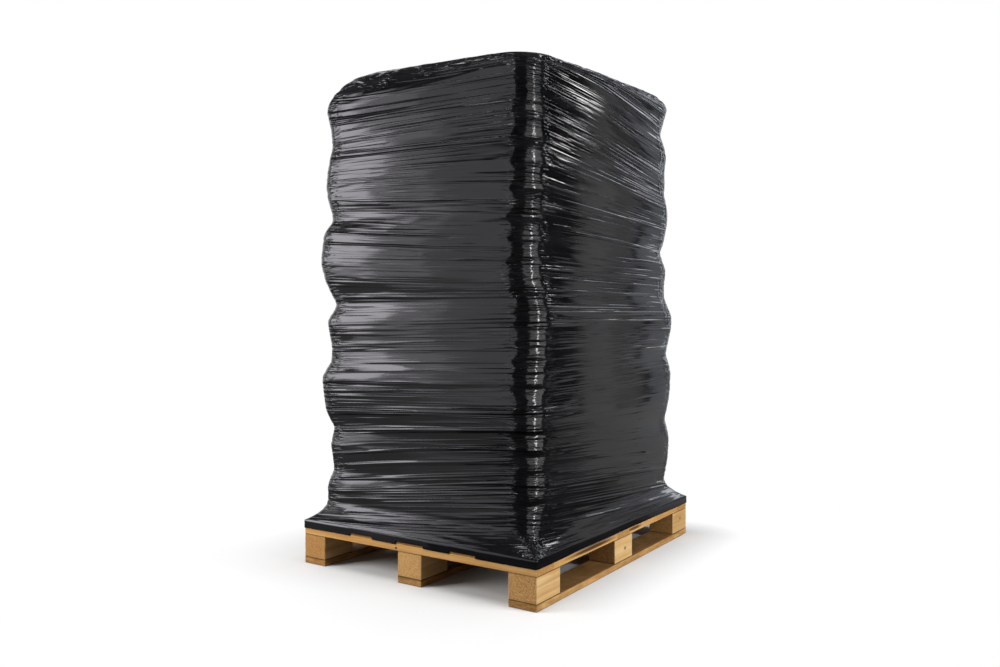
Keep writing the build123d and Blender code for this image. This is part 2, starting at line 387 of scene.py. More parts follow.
def wood_material(name, along, tones, end_tones, marks=(), soil=0.0, seams=(), offset=(0, 0, 0)):
    """Rough sawn softwood with its grain along an axis, end grain on its ends, marks where they are given
    and painted shade in its seams.
    """
    # Dry and matt, streaked along the grain and rough on its ends
    material, tree, coords = new_material(name)
    place = coords.outputs["Object"]
    axis = "XYZ".index(along)
    # Growth rings 4 to 12 mm apart, drawn out along the grain, and fibres 1 mm apart
    ring_scale = [70.0] * 3
    ring_scale[axis] = 1.6
    fibre_scale = [620.0] * 3
    fibre_scale[axis] = 14.0
    rings = mottle(tree, place, ring_scale, 4.0, 0.6, 0.6, offset)
    fibres = mottle(tree, place, fibre_scale, 3.0, 0.6, 0.0, offset)
    board = mottle(tree, place, (5.0, 5.0, 9.0), 2.0, 0.5, 0.0, offset)
    tone = layered(tree, ((rings,), (fibres, 0.35), (board, 0.5)))
    tone = add(tree, MAP_RANGE, (tone, 0.62, 1.25))
    face = add(tree, RAMP, (tone,), zip((0.0, 0.5, 1.0), tones))
    # End grain: torn fibres 3 to 6 mm across
    torn = mottle(tree, place, (210.0, 210.0, 260.0), 5.0, 0.75, 0.8, offset)
    end = add(tree, RAMP, (torn,), zip((0.34, 0.5, 0.66), end_tones))
    normal = add(tree, SEPARATE, (coords.outputs["Normal"],))
    facing = add(tree, MATH, (normal.outputs[axis],), operation="ABSOLUTE")
    on_end = add(tree, MATH, (facing, 0.75), operation="GREATER_THAN")
    colour = add(tree, MIX, {0: on_end, 6: face, 7: end}, data_type="RGBA").outputs[2]
    for centre, size, tint, strength in marks:
        where = add(tree, MATH, (spot(tree, place, centre, size), strength), operation="MULTIPLY")
        colour = add(tree, MIX, {0: where, 6: colour, 7: linear(tint)}, data_type="RGBA").outputs[2]
    # Painted shade and dirt in the seams between pieces, 3 mm wide
    height = add(tree, SEPARATE, (place,)).outputs["Z"]
    for seam in seams:
        away = add(tree, MATH, (height, seam), operation="SUBTRACT")
        away = add(tree, MATH, (away,), operation="ABSOLUTE")
        shade = add(tree, MAP_RANGE, (away, 0.0012, 0.0032, 0.75, 0.0))
        colour = add(tree, MIX, {0: shade, 6: colour, 7: linear("3c2814")}, data_type="RGBA").outputs[2]
    if soil:
        dirt = mottle(tree, place, (14.0, 14.0, 60.0), 5.0, 0.7, 0.3, offset)
        dirt = add(tree, MAP_RANGE, (dirt, 0.38, 0.62, 0.0, soil))
        inputs = {0: dirt, 6: colour, 7: linear("6a5236")}
        colour = add(tree, MIX, inputs, data_type="RGBA", blend_type="MULTIPLY").outputs[2]
    relief = layered(tree, ((fibres,), (rings,)))
    relief = add(tree, MIX, {0: on_end, 6: relief, 7: torn}, data_type="RGBA").outputs[2]
    bump = add(tree, "ShaderNodeBump", {"Height": relief, "Strength": 0.5, "Distance": 0.0012})
    inputs = {"Base Color": colour, "Roughness": 0.82, "Normal": bump, "Specular IOR Level": 0.25}
    shader = add(tree, "ShaderNodeBsdfPrincipled", inputs)
    add(tree, "ShaderNodeOutputMaterial", {"Surface": shader})
    return material


def sack_material(settings):
    """Plain woven polypropylene sack cloth."""
    # Pale and matt, with a faint check from its crossing tapes
    material, tree, coords = new_material("woven_polypropylene")
    place = coords.outputs["Object"]
    # Tapes 3 mm wide
    weave = add(tree, "ShaderNodeTexChecker", {"Vector": place, "Scale": 330.0})
    soil = mottle(tree, place, (9.0, 9.0, 9.0), 4.0)
    colour = add(tree, RAMP, (soil,), ((0.3, settings.sack_soil), (0.7, settings.sack_colour)))
    check = add(tree, MATH, (weave.outputs["Fac"], 0.15), operation="MULTIPLY")
    colour = add(tree, MIX, {0: check, 6: colour, 7: linear("85827c")}, data_type="RGBA").outputs[2]
    shader = add(tree, "ShaderNodeBsdfPrincipled", {"Base Color": colour, "Roughness": 0.6})
    add(tree, "ShaderNodeOutputMaterial", {"Surface": shader})
    return material


def nail_material():
    """Dull steel nail heads with a little rust."""
    # Grey metal without a clear reflection, browned in specks 2.5 mm across
    material, tree, coords = new_material("dull_steel")
    rust = mottle(tree, coords.outputs["Object"], (400.0, 400.0, 400.0), 4.0)
    colour = add(tree, RAMP, (rust,), ((0.45, linear("7d7c78")), (0.65, linear("6b4630"))))
    inputs = {"Base Color": colour, "Roughness": 0.5, "Metallic": 0.8}
    shader = add(tree, "ShaderNodeBsdfPrincipled", inputs)
    add(tree, "ShaderNodeOutputMaterial", {"Surface": shader})
    return material


def mesh_object(name, points, faces, material, smooth=True):
    """A new object from points and faces, in the row frame."""
    mesh = bpy.data.meshes.new(name)
    mesh.from_pydata([tuple(p) for p in points], [], [tuple(f) for f in faces])
    mesh.polygons.foreach_set("use_smooth", [smooth] * len(mesh.polygons))
    mesh.materials.append(material)
    mesh.update()
    made = bpy.data.objects.new(name, mesh)
    bpy.context.scene.collection.objects.link(made)
    return made


def grid_faces(rows, columns, closed):
    """Quads between the points of a grid, numbered row by row, closed around its columns or not."""
    last = columns if closed else columns - 1
    row = np.arange(rows - 1)[:, None] * columns
    column = np.arange(last)[None, :]
    following = (column + 1) % columns
    quads = (row + column, row + following, row + columns + following, row + columns + column)
    return np.stack(quads, axis=-1).reshape(-1, 4)


def smooth_step(value, low, high):
    """0 below low, 1 above high and smooth between them."""
    t = np.clip((value - low) / (high - low), 0, 1)
    return t * t * (3 - 2 * t)


def bell(value, width):
    """1 where a value is 0, falling off on both sides over a width."""
    return np.exp(-((value / width) ** 2))


def waves(seed, size, across, along, points):
    """Unit ripples, repeating around size[0] metres, sampled at (around, up) points.

    across is their height from crest to crest and along how far they run on, in metres.
    """
    rng = np.random.default_rng(seed)
    cells = (1024, 1024)
    around = np.fft.fftfreq(cells[0], size[0] / cells[0])[:, None]
    up = np.fft.fftfreq(cells[1], size[1] / cells[1])[None, :]
    keep = np.exp(-((around * along) ** 2) * 4) * bell(np.abs(up) * across - 1, 0.45)
    spectrum = np.fft.fft2(rng.standard_normal(cells)) * keep
    field = np.real(np.fft.ifft2(spectrum))
    field /= field.std()
    x = points[..., 0] / size[0] * cells[0]
    y = points[..., 1] / size[1] * cells[1]
    x0, y0 = np.floor(x).astype(int), np.floor(y).astype(int)
    fx, fy = x - x0, y - y0
    total = 0.0
    for dx, wx in ((0, 1 - fx), (1, fx)):
        for dy, wy in ((0, 1 - fy), (1, fy)):
            total = total + field[(x0 + dx) % cells[0], (y0 + dy) % cells[1]] * wx * wy
    return total


def creased(field, share=0.5):
    """Ripples with some of their roundness turned into sharp crests."""
    return field * (1 - share) + (0.8 - np.abs(field)) * share


def grooves(seed, size, across, along, points):
    """Narrow level grooves that come and go, 0 to 1 deep."""
    line = waves(seed, size, across, along, points)
    shown = smooth_step(waves(seed + 1, size, across * 2, along * 0.6, points), 0.1, 0.9)
    return bell(line, 0.4) * shown


class FilmShape:
    """The film's surface, worked out from the boxes of the layers and of the pallet."""

    def __init__(self, settings):
        self.settings = settings
        boxes = [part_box(n) for n in LAYERS]
        self.joints = np.array([lo.z for lo, hi in boxes] + [boxes[-1][1].z])
        self.middles = (self.joints[1:] + self.joints[:-1]) / 2
        self.centres = np.array([((hi + lo) / 2)[:2] for lo, hi in boxes])
        self.halves = np.array([((hi - lo) / 2)[:2] for lo, hi in boxes]) + settings.film_gap
        self.halves[0] = self.halves[1]
        film_low, film_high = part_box("stretch_film")
        self.band_half = np.array(((film_high - film_low) / 2)[:2])
        self.band_low = film_low.z
        self.deck_top = self.joints[0]
        self.top = film_high.z
        self.crown_foot = self.top - settings.crown_rise

    def bulge(self, z):
        """How far the film is drawn in at heights and corners, from 0 to about 1."""
        pulls = np.zeros((len(z), 4))
        for corner, ((down, up), valleys) in enumerate(VALLEYS):
            for height, depth in valleys:
                away = np.where(z < height, (height - z) / down, (z - height) / up)
                pulls[:, corner] += depth * np.clip(1 - away, 0, 1) ** VALLEY_POWER
        return pulls

    def radius(self, pull):
        """Radius of each corner where the film is drawn in so far."""
        s = self.settings
        return s.corner_radius * CORNER_SHARES + s.joint_rounding * VALLEY_ROUNDINGS * pull

    def raised(self, z, x, y):
        """How far places stand higher, or lower where it is negative, towards the top."""
        (cx, cy), (hx, hy) = self.centres[-1], self.halves[-1]
        near, far_right, far, far_left = TOP_RISES
        east = np.clip((x - cx) / hx / 2 + 0.5, 0, 1)
        north = np.clip((y - cy) / hy / 2 + 0.5, 0, 1)
        front = far_left + (near - far_left) * east
        back = far + (far_right - far) * east
        begin, end = TOP_REACH
        return (front + (back - front) * north) * smooth_step(z, self.top - begin, self.top - end)

    def crown(self, shares, corner, share):
        """Width or height of the rounded top edge at places around, as a share of its full size."""
        along = shares[corner] + (shares[(corner + 1) % 4] - shares[corner]) * share
        return along + CROWN_SWELLS[corner] * bell(share - 0.4, 0.22) * (share > 0)

    def wind(self, z, around):
        """Height on the film's turns, which climb or fall around the load, of places on it."""
        low, high = (np.where(around > 0, *pair) for pair in zip(FALL_AFTER, FALL_BEFORE))
        slope = TURN_CLIMB - TURN_FALL * smooth_step(z, low, high)
        fall = LOW_FALL * (1 - smooth_step(z, *LOW_HEIGHTS))
        return z - slope * around + fall * np.minimum(np.abs(around), LOW_RUN)

    def level(self, z):
        """Half sizes and centres of the load at heights."""
        halves = np.stack([np.interp(z, self.middles, self.halves[:, k]) for k in (0, 1)], axis=1)
        centres = np.stack([np.interp(z, self.middles, self.centres[:, k]) for k in (0, 1)], axis=1)
        return halves, centres

    def run(self, corner):
        """Length of the face after each corner, in metres."""
        return 2 * np.where(corner % 2, self.halves[:, 0].mean(), self.halves[:, 1].mean())

    def rings(self):
        """Rows from the hem up: height, half sizes, centre, radius and pull at each corner, belly, zone.

        The zone goes to 1 on the band and to 2 on the flare, stays 2 on the sides and goes to 3 on the
        top edge and to 4 on the fold.
        """
        s = self.settings
        none, axis = np.zeros(4), np.zeros(2)
        shoulder = self.deck_top + s.film_gap
        edge_radius = np.full(4, EDGE_RADIUS)
        rows = []
        for t in np.linspace(0, 1, BAND_ROWS):
            z = self.band_low + (shoulder - self.band_low) * t
            rows.append((z, self.band_half, axis, edge_radius, none, 0, t))
        flare_end = self.deck_top + s.flare_height
        foot_half, foot_centre = (a[0] for a in self.level(np.array([flare_end])))
        for t in np.linspace(0.07, 1, FLARE_ROWS):
            z = shoulder + (flare_end - shoulder) * t
            out = 1 - (1 - t) ** FLARE_POWER
            pull = self.bulge(np.array([z]))[0] * out
            half = self.band_half + (foot_half - self.band_half) * out
            radius = edge_radius + (self.radius(none) - edge_radius) * t**FLARE_ROUNDING_POWER
            radius = radius + s.joint_rounding * VALLEY_ROUNDINGS * pull
            rows.append((z, half, foot_centre * out, radius, pull, 0, 1 + t))
        heights = np.arange(flare_end + s.row_height, self.crown_foot, s.row_height)
        for z, pull, half, centre in zip(heights, self.bulge(heights), *self.level(heights)):
            rows.append((z, half, centre, self.radius(pull), pull, 1, 2))
        half, centre = (a[0] for a in self.level(np.array([self.crown_foot])))
        radius = self.radius(none)
        for t in np.linspace(0, 1, CROWN_ROWS):
            z = self.crown_foot + s.crown_rise * math.sin(t * math.pi / 2)
            rows.append((z, half, centre, radius, none, 1 - t, 2 + t))
        for t in np.linspace(0.12, 1, FOLD_ROWS):
            inward = s.fold_width * t
            rows.append((self.top, half - inward, centre, radius - inward, none, 0, 3 + t))
        return rows

    def columns(self, corner_steps, flat_steps, marks=()):
        """Columns around: corner, angle, share along the flat after it and whether on the flat.

        marks are more shares along the front and the back.
        """
        listed = []
        for corner in range(4):
            start = -math.pi / 2 + corner * math.pi / 2
            for k in range(corner_steps):
                listed.append((corner, start + math.pi / 2 * k / corner_steps, 0.0, False))
            # Closer together towards the corners
            even = np.arange(flat_steps[corner % 2]) / flat_steps[corner % 2]
            shares = 0.6 * (0.5 - 0.5 * np.cos(math.pi * even)) + 0.4 * even
            if corner % 2:
                shares = np.sort(np.concatenate((shares, marks)))
            listed += [(corner, start + math.pi / 2, share, True) for share in shares]
        return listed

    def surface(self, rows, columns, inset=0.0):
        """Points of every row and column, that far inside the film."""
        s = self.settings
        corner, angle, share = (np.array([c[k] for c in columns]) for k in range(3))
        following = (corner + 1) % 4
        out = np.stack((np.cos(angle), np.sin(angle)), axis=1)
        crown = self.crown(CROWN_SHARES, corner, share)
        rise = self.crown(CROWN_RISES, corner, share)
        plain = CROWN_SHARES[corner] + (CROWN_SHARES[following] - CROWN_SHARES[corner]) * share
        arch = 4 * share * (1 - share)
        run = self.run(corner)
        fade_before = np.exp(-((share * run / VALLEY_RUNS[corner]) ** 1.5))
        fade_after = np.exp(-(((1 - share) * run / VALLEY_RUNS[following]) ** 1.5))
        ledge = (self.band_half - self.halves[0]).mean()
        made = np.zeros((len(rows), len(columns), 3))
        for r, (z, half, centre, radius, pull, belly, zone) in enumerate(rows):
            turn = min(max(zone - 2, 0), 1) * math.pi / 2
            inward = s.crown_depth * (1 - math.cos(turn))
            rounded = s.crown_rounding * CROWN_SHARES * math.sin(turn) ** CROWN_POWER
            radius = np.maximum(radius + rounded - inset, LEAST_RADIUS)
            pull = pull * VALLEY_DEPTHS
            drawn = s.joint_depth * pull + radius + inward * CROWN_SHARES
            middle = np.array(centre) + CORNER_SIGNS * (np.array(half) - inset - drawn[:, None])
            begin = middle[corner] + radius[corner][:, None] * out
            end = middle[following] + radius[following][:, None] * out
            even = pull[corner] * (1 - share) + pull[following] * share
            dent = even - pull[corner] * fade_before - pull[following] * fade_after
            bow = s.belly * belly * arch + s.joint_depth * dent * (share > 0) - inward * (crown - plain)
            # Along the faces the film comes down to the deck's edge in a longer, straighter slope
            steep = 1 - (1 - min(max(zone - 1, 0), 1)) ** FLARE_POWER
            gentle = min(max((z - self.deck_top) / s.slope_height, 0), 1)
            bow += ledge * max(steep - gentle, 0) * (1 - (2 * share - 1) ** 4)
            made[r, :, :2] = begin + (end - begin) * share[:, None] + out * bow[:, None]
            lower = smooth_step(z, self.crown_foot - CROWN_REACH, self.crown_foot)
            if zone > 2:
                lower = 1 - math.sin(turn)
            raised = self.raised(z, *made[r, :, :2].T)
            made[r, :, 2] = z + raised + s.crown_rise * (1 - rise) * lower
        return made


def normals_of(points):
    """Outward normals of a grid of points that is closed around its columns."""
    along = np.roll(points, -1, axis=1) - np.roll(points, 1, axis=1)
    up = np.gradient(points, axis=0)
    normal = np.cross(along, up)
    return normal / np.maximum(np.linalg.norm(normal, axis=2, keepdims=True), 1e-12)


def board_ends():
    """The deck boards' spans along X."""
    spans = [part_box(n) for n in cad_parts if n.startswith("deck_board_")]
    return sorted((lo.x, hi.x) for lo, hi in spans)


def board_marks(shape):
    """Shares along the front just outside and inside each deck board's edges."""
    straight = shape.band_half[0] - EDGE_RADIUS
    edges = [x + side * 0.0015 for ends in board_ends() for x in ends for side in (-1, 1)]
    shares = [(x / straight + 1) / 2 for x in edges]
    return [share for share in shares if 0 < share < 1]


def softened(points, side):
    """Points of a grid, with its side rows evened out where the film bridges the joints."""
    reach = 6
    kernel = bell(np.arange(-reach, reach + 1), 2.6)
    kernel /= kernel.sum()
    padded = np.concatenate((points[:1].repeat(reach, 0), points, points[-1:].repeat(reach, 0)))
    even = sum(k * padded[i : i + len(points)] for i, k in enumerate(kernel))
    made = points.copy()
    made[side, :, :2] = even[side, :, :2]
    return made


class WrinkledFilm:
    """The film with its wrinkles: its points, its length around and what its material needs to know."""

    def __init__(self, shape):
        self.shape, self.settings = shape, shape.settings
        rows = shape.rings()
        columns = shape.columns(CORNER_COLUMNS, FACE_COLUMNS, board_marks(shape))
        self.zone = np.array([r[6] for r in rows])[:, None]
        self.corner, self.angle, share, self.flat = (
            np.array([c[k] for c in columns]) for k in range(4)
        )
        side = (self.zone[:, 0] >= 1.9) & (self.zone[:, 0] <= 2.1)
        even = softened(shape.surface(rows, columns), side)
        self.z = even[..., 2]
        self.body = smooth_step(self.zone, 1.3, 1.9)
        self.find_corners(share)
        self.find_places(even)
        lift = self.faces() + self.corners() + self.top_edge() + self.skirt()
        self.points = self.hemmed(even + normals_of(even) * lift[..., None])

    def find_corners(self, share):
        """The nearest corner of each column, how far it is along the face and how crumpled that makes it."""
        run = self.shape.run(self.corner)
        before = np.where(self.flat, share * run, 0.0)
        after = np.where(self.flat, (1 - share) * run, 0.0)
        self.apart = np.minimum(before, after)
        self.nearest = np.where(before <= after, self.corner, (self.corner + 1) % 4)
        self.near = bell(self.apart, 0.035) * CORNER_CRUMPLE[self.nearest]
        self.wide = bell(self.apart, 0.17) * CORNER_CRUMPLE[self.nearest]

    def find_places(self, points):
        """Places on the film, measured around the load and up the profile, and on its turns."""
        middle = points[len(points) // 2]
        steps = np.linalg.norm(np.roll(middle, -1, axis=0) - middle, axis=1)
        around = np.concatenate(([0.0], np.cumsum(steps)))
        self.length = around[-1]
        climb = np.linalg.norm(np.diff(points.mean(axis=1), axis=0), axis=1)
        profile = np.linalg.norm(np.diff(points[:, PROFILE_COLUMN], axis=0), axis=1)
        up = np.concatenate(([0.0], np.cumsum(np.maximum(profile, climb))))
        self.size = (self.length, up[-1] * 1.1)
        self.places = np.stack(np.broadcast_arrays(around[None, :-1], up[:, None]), axis=-1)
        # The turns begin at a seam on the far corner, where their ripples fade out
        seam = int(np.argmax(self.corner == 2)) + CORNER_COLUMNS // 2
        passed = np.arange(len(self.corner)) >= seam
        travel = np.where(passed, around[:-1] - self.length, around[:-1])
        self.wound = self.shape.wind(self.places[..., 1] + self.shape.band_low, travel[None, :])
        self.turns = np.stack((self.places[..., 0], self.wound), axis=-1)
        from_seam = np.minimum(np.abs(travel - travel[seam - 1]), np.abs(travel - travel[seam]))
        self.whole = 1 - bell(from_seam, 0.08)

    def rumple(self, name, share=0.0, pattern=waves, on=None):
        """Ripples of that name in metres, with a share of their roundness turned into sharp crests."""
        seed, across, along, high = RIPPLES[name]
        field = pattern(seed, self.size, across, along, self.places if on is None else on)
        return high * (creased(field, share) if share else field)

    def faces(self):
        """Level waves and grooves along the film's turns, and the edges of the turns."""
        lift = self.rumple("billow", on=self.turns)
        lift = lift - self.rumple("wide_groove", pattern=grooves, on=self.turns)
        lift = self.settings.wrinkles * (lift - self.rumple("narrow_groove", pattern=grooves, on=self.turns))
        wander = self.rumple("turn_edge")
        for edge in TURN_EDGES:
            beyond = (self.wound - edge - wander) / 0.004
            lift = lift + 0.0004 * bell(beyond, 1.0) + 0.0002 * np.tanh(beyond)
        return lift * self.body * self.whole

    def corners(self):
        """Ribs, folds and sway near the corners, and pinches between the beads of the near corner."""
        s = self.settings
        close = self.near * (self.rumple("rib", 0.5) + self.rumple("sway"))
        lift = s.corner_wrinkles * self.body * (close + self.wide * self.rumple("fold", 0.6))
        beads = np.where((self.corner == 0) & ~self.flat, -np.sin(2 * self.angle), 0.0)
        for height, depth in VALLEYS[0][1]:
            lift = lift - s.pinch_depth * depth * beads * bell(self.z - height, 0.008)
        return lift

    def top_edge(self):
        """Bunched folds and crinkles at the top edge, less of them on the fold."""
        upper = smooth_step(self.zone, 2.02, 2.4) * (1 - 0.4 * smooth_step(self.zone, 3.0, 3.5))
        return self.settings.top_wrinkles * upper * (self.rumple("bunch", 0.6) + self.rumple("crinkle", 0.5))

    def skirt(self):
        """Tension folds that fan out from the pallet's corners, and short folds along the skirt."""
        rise = np.maximum(self.z - self.shape.deck_top, 0.0)
        turn = np.arctan2(rise, self.apart + 0.02)
        away = np.hypot(rise, self.apart)
        fan = np.sin(turn * 17 + self.nearest * 2.1) * 0.6 + np.sin(turn * 31 + 1.3) * 0.4
        lift = 0.0006 * fan * bell(away, 0.16) * smooth_step(self.zone, 1.02, 1.3)
        here = smooth_step(self.zone, 0.2, 0.9) * (1 - smooth_step(self.zone, 1.6, 2.0))
        return self.settings.skirt_folds * (lift + self.rumple("skirt", 0.5) * here)

    def hemmed(self, points):
        """Points with an uneven hem, raised at the deck boards' ends and turned in to have a thickness."""
        hem = self.rumple("hem")[0]
        x = points[0, :, 0]
        ends = np.abs(points[0, :, 1]) > self.shape.band_half[1] - 0.004
        for low, high in board_ends()[1:-1]:
            hem = hem + HEM_RISE * (ends & (x > low) & (x < high))
        points[:BAND_ROWS, :, 2] += np.clip(1 - self.zone[:BAND_ROWS], 0, 1) * hem
        inner = points[0] - normals_of(points)[0] * TUCK_DEPTH
        tucked = inner + np.array((0, 0, TUCK_HEIGHT))
        return np.concatenate((tucked[None], inner[None], points))

    def marks(self):
        """What the material needs at each point, by the names of its attributes."""
        settled = 0.6 * smooth_step(self.zone, 1.0, 1.2) + 0.4 * smooth_step(self.zone, 1.5, 2.0)
        marks = {
            "corner": self.near * self.body,
            "wound": self.wound,
            "drawn": CREASE_GAINS[self.nearest] * bell(self.apart, CREASE_RUNS[self.nearest]),
            "bunched": smooth_step(self.zone, 2.15, 2.45),
            "whole": self.whole * settled,
        }
        rows = [0, 0, *range(len(self.z))]
        return {key: np.broadcast_to(value, self.z.shape)[rows] for key, value in marks.items()}


def sack_objects(shape, material):
    """One plain pillow for each layer, a little inside the film."""
    made = []
    columns = shape.columns(6, (8, 8))
    count = len(columns)
    s = shape.settings
    for k, node in enumerate(LAYERS):
        low, high = shape.joints[k], shape.joints[k + 1]
        heights = low + (high - low) * np.linspace(0, 1, 7)
        rows = []
        for z, pull, half, centre in zip(heights, shape.bulge(heights), *shape.level(heights)):
            rise = min(max((z - shape.crown_foot) / s.crown_rise, 0), 1)
            zone = 2 + math.asin(rise) / (math.pi / 2)
            rows.append((z, half, centre, shape.radius(pull), pull, 0, zone))
        points = shape.surface(rows, columns, s.sack_gap)
        if node == LAYERS[-1]:
            points[..., 2] -= s.sack_gap * smooth_step(heights, shape.crown_foot, high)[:, None]
            rim, middle = points[-1], points[-1].mean(axis=0)
            for t in (0.75, 0.5, 0.25):
                ring = middle + (rim - middle) * t
                ring[:, 2] = high - s.sack_gap + shape.raised(high, ring[:, 0], ring[:, 1])
                points = np.concatenate((points, ring[None]))
        flat = points.reshape(-1, 3)
        ends = np.stack((points[0].mean(axis=0), points[-1].mean(axis=0)))
        faces = list(grid_faces(len(points), count, True))
        last = (len(points) - 1) * count
        for c in range(count):
            n = (c + 1) % count
            faces.append((n, c, len(flat)))
            faces.append((last + c, last + n, len(flat) + 1))
        layer = mesh_object(f"sacks_{k + 1:02d}", np.concatenate((flat, ends)), faces, material, False)
        made.append(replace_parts(layer, node))
    return made


def top_sheet_object(shape, material):
    """The sheet on the top layer, lightly rumpled, with its edge under the film's fold, and its sizes."""
    low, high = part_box("top_sheet")
    # From a rim 15 mm inside the top edge, in rings to the middle
    rim = shape.surface(shape.rings()[-7:-6], shape.columns(12, (40, 32)))[0, :, :2]
    middle = rim.mean(axis=0)
    shares = np.linspace(1, 0.02, 46)
    grid = middle + (rim - middle) * shares[:, None, None]
    sizes = rim.max(axis=0) - rim.min(axis=0)
    size, places = sizes * np.array((1, 1.1)), grid - rim.min(axis=0)
    lift = creased(waves(71, size, 0.09, 0.12, places)) * 0.0022
    lift = lift + waves(72, size, 0.3, 0.3, places) * 0.003
    edge = 1 - smooth_step(shares, 0.7, 0.84)[:, None]
    z = low.z + 0.0005 + edge * np.maximum(lift + 0.003, 0)
    z = z + shape.raised(shape.top, grid[..., 0], grid[..., 1])
    points = np.concatenate((grid, z[..., None]), axis=2)
    rows, columns = points.shape[:2]
    faces = list(grid_faces(rows, columns, True))
    last = (rows - 1) * columns
    faces += [(last + c, last + (c + 1) % columns, rows * columns) for c in range(columns)]
    points = np.concatenate((points.reshape(-1, 3), points[-1].mean(axis=0)[None]))
    return mesh_object("top_sheet_film", points, faces, material), sizes


def nail_tree(material):
    """A node tree that puts a nail head on every point of a mesh."""
    tree = bpy.data.node_groups.new("Nail heads", "GeometryNodeTree")
    face = tree.interface
    face.new_socket("Points", in_out="INPUT", socket_type="NodeSocketGeometry")
    for name, value in (("Radius", 0.004), ("Height", 0.0006), ("Spread", 0.15)):
        face.new_socket(name, in_out="INPUT", socket_type="NodeSocketFloat").default_value = value
    face.new_socket("Seed", in_out="INPUT", socket_type="NodeSocketInt").default_value = 3
    face.new_socket("Heads", in_out="OUTPUT", socket_type="NodeSocketGeometry")
    entry = add(tree, "NodeGroupInput").outputs
    sides = {
        "Vertices": 12,
        "Side Segments": 1,
        "Fill Segments": 1,
        "Radius": entry["Radius"],
        "Depth": entry["Height"],
    }
    head = add(tree, "GeometryNodeMeshCylinder", sides)
    least = add(tree, MATH, (1.0, entry["Spread"]), operation="SUBTRACT")
    span = {2: least, 3: 1.0, "Seed": entry["Seed"]}
    size = add(tree, "FunctionNodeRandomValue", span, data_type="FLOAT").outputs[1]
    inputs = {"Points": entry["Points"], "Instance": head, "Scale": size}
    placed = add(tree, "GeometryNodeInstanceOnPoints", inputs)
    real = add(tree, "GeometryNodeRealizeInstances", {"Geometry": placed})
    finished = add(tree, "GeometryNodeSetMaterial", {"Geometry": real, "Material": material})
    add(tree, "NodeGroupOutput", {"Heads": finished})
    return tree


def nail_places(settings):
    """Points of the nails under each block, in the bottom boards' undersides."""
    places = []
    for node in sorted(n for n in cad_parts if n.startswith("block_")):
        low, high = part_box(node)
        middle = (low + high) / 2
        across = (high.x - low.x) * settings.nail_across
        along = (high.y - low.y) * settings.nail_along
        for x, y in ((-across, -along), (across, along), (across * 0.2, 0.0)):
            places.append((middle.x + x, middle.y + y, settings.nail_height / 2))
    return places


def apply_tree(holder, tree, values, name):
    """The mesh that a node tree makes from a holder's points, as a new object."""
    modifier = holder.modifiers.new("Nodes", "NODES")
    modifier.node_group = tree
    inputs = {i.name: i.identifier for i in tree.interface.items_tree if i.in_out == "INPUT"}
    for key, value in values.items():
        modifier[inputs[key]] = value
    bpy.context.view_layer.update()
    evaluated = holder.evaluated_get(bpy.context.evaluated_depsgraph_get())
    made = bpy.data.objects.new(name, bpy.data.meshes.new_from_object(evaluated))
    bpy.context.scene.collection.objects.link(made)
    bpy.data.objects.remove(holder)
    return made


# Settings
class FilmSettings(bpy.types.PropertyGroup):
    film_gap: FloatProperty(
        name="Film gap", description="From the layers to the film", default=0.0035, unit="LENGTH"
    )
    row_height: FloatProperty(
        name="Row height", description="Between rows of the film's mesh", default=0.0042, unit="LENGTH"
    )
    corner_radius: FloatProperty(
        name="Corner radius", description="In the middle of a layer", default=0.07, unit="LENGTH"
    )
    joint_rounding: FloatProperty(
        name="Joint rounding", description="More corner radius at a joint", default=0.062, unit="LENGTH"
    )
    joint_depth: FloatProperty(
        name="Joint depth", description="How far the film is drawn in", default=0.009, unit="LENGTH"
    )
    belly: FloatProperty(
        name="Belly", description="How far the middle of a face bulges", default=0.006, unit="LENGTH"
    )
    flare_height: FloatProperty(
        name="Flare height", description="Of the film's flare above the deck", default=0.074, unit="LENGTH"
    )
    slope_height: FloatProperty(
        name="Slope height", description="Of the film's slope along the faces", default=0.076, unit="LENGTH"
    )
    crown_rise: FloatProperty(
        name="Crown rise", description="Height of the rounded top edge", default=0.105, unit="LENGTH"
    )
    crown_depth: FloatProperty(
        name="Crown depth", description="Width of the rounded top edge", default=0.125, unit="LENGTH"
    )
    crown_rounding: FloatProperty(
        name="Crown rounding", description="More corner radius at the top", default=0.13, unit="LENGTH"
    )
    fold_width: FloatProperty(
        name="Fold width", description="Of the film that lies on the top", default=0.06, unit="LENGTH"
    )
    sack_gap: FloatProperty(
        name="Sack gap", description="From the film to the sacks", default=0.009, unit="LENGTH"
    )
    wrinkles: FloatProperty(name="Wrinkles", description="Of the faces", default=1.0, subtype="FACTOR")
    corner_wrinkles: FloatProperty(
        name="Corner wrinkles", description="At the corners", default=1.0, subtype="FACTOR"
    )
    top_wrinkles: FloatProperty(
        name="Top wrinkles", description="At the top edge", default=1.0, subtype="FACTOR"
    )
    skirt_folds: FloatProperty(
        name="Skirt folds", description="Above the deck", default=1.0, subtype="FACTOR"
    )
    pinch_depth: FloatProperty(
        name="Pinch depth", description="Between the near corner's beads", default=0.006, unit="LENGTH"
    )
    crease_depth: FloatProperty(
        name="Crease depth", description="Of the fine creases", default=0.015, unit="LENGTH"
    )
    film_colour: FloatVectorProperty(
        name="Film colour", description="Of clean film", default=linear("0b0b0d"), size=4, subtype="COLOR"
    )
    dust_colour: FloatVectorProperty(
        name="Dust colour", description="Of dusty film", default=linear("171619"), size=4, subtype="COLOR"
    )
    sack_colour: FloatVectorProperty(
        name="Sack colour", description="Of clean sacks", default=linear("bdbab2"), size=4, subtype="COLOR"
    )
    sack_soil: FloatVectorProperty(
        name="Sack soil", description="Of soiled sacks", default=linear("a3a09a"), size=4, subtype="COLOR"
    )


